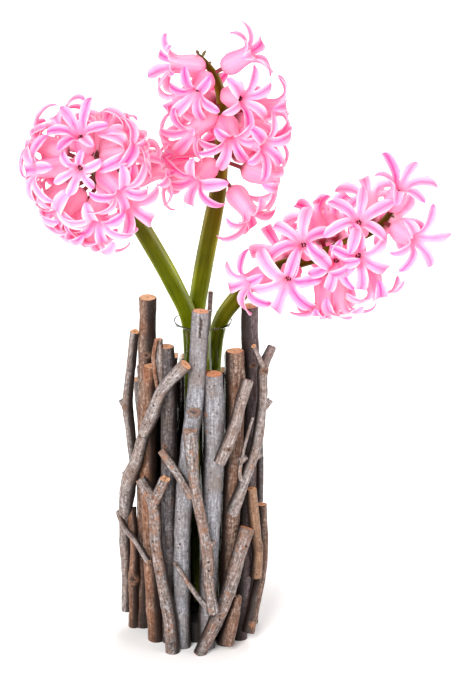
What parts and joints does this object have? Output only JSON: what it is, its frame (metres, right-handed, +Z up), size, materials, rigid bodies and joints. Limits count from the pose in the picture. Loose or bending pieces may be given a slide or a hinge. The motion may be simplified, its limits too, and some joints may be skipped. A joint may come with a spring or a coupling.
{
  "type": "hyacinth flower arrangement in a twig-clad glass vase",
  "caption": "Cut pink hyacinths standing in a slim clear glass tube, held upright inside a round bundle of grey-brown twigs.",
  "frame": {"origin": "middle of the twig ring, on the flat underside of its wooden disc, where the object stands", "axes": "+Z up along the vase, -Y the front that the picture shows, +X to the right of it"},
  "size_m": [0.2259, 0.1359, 0.3535],
  "materials": {
    "bark_grey": "matte",
    "bark_brown": "matte",
    "base_wood": "matte",
    "clear_glass": "gloss",
    "water": "gloss",
    "stem_green": "satin",
    "petal_pink": "satin"
  },
  "bodies": {
    "root": {"upright_twig_01": "bark_grey", "upright_twig_02": "bark_grey", "upright_twig_03": "bark_grey", "upright_twig_04": "bark_grey", "upright_twig_05": "bark_grey", "upright_twig_06": "bark_grey", "upright_twig_07": "bark_grey", "upright_twig_08": "bark_grey", "upright_twig_09": "bark_grey", "upright_twig_10": "bark_grey", "upright_twig_11": "bark_grey", "upright_twig_12": "bark_grey", "upright_twig_13": "bark_grey", "upright_twig_14": "bark_grey", "upright_twig_15": "bark_grey", "upright_twig_16": "bark_grey", "upright_twig_17": "bark_grey", "forked_twig_01": "bark_grey", "forked_twig_02": "bark_grey", "forked_twig_03": "bark_grey", "outer_twig_01": "bark_brown", "outer_twig_02": "bark_brown", "outer_twig_03": "bark_brown", "outer_twig_04": "bark_brown", "outer_twig_05": "bark_brown", "outer_twig_06": "bark_brown", "outer_twig_07": "bark_brown", "outer_twig_08": "bark_brown", "outer_twig_09": "bark_brown", "outer_twig_10": "bark_brown", "outer_twig_11": "bark_brown", "outer_twig_12": "bark_brown", "back_twig_01": "bark_brown", "back_twig_02": "bark_brown", "back_twig_03": "bark_brown", "back_twig_04": "bark_brown", "back_twig_05": "bark_brown", "back_twig_06": "bark_brown", "base_disc": "base_wood", "glass_vase": "clear_glass", "water": "water", "left_stem": "stem_green", "left_flower_head": "petal_pink", "centre_stem": "stem_green", "centre_flower_head": "petal_pink", "right_stem": "stem_green", "right_flower_head": "petal_pink"}
  },
  "joints": []
}
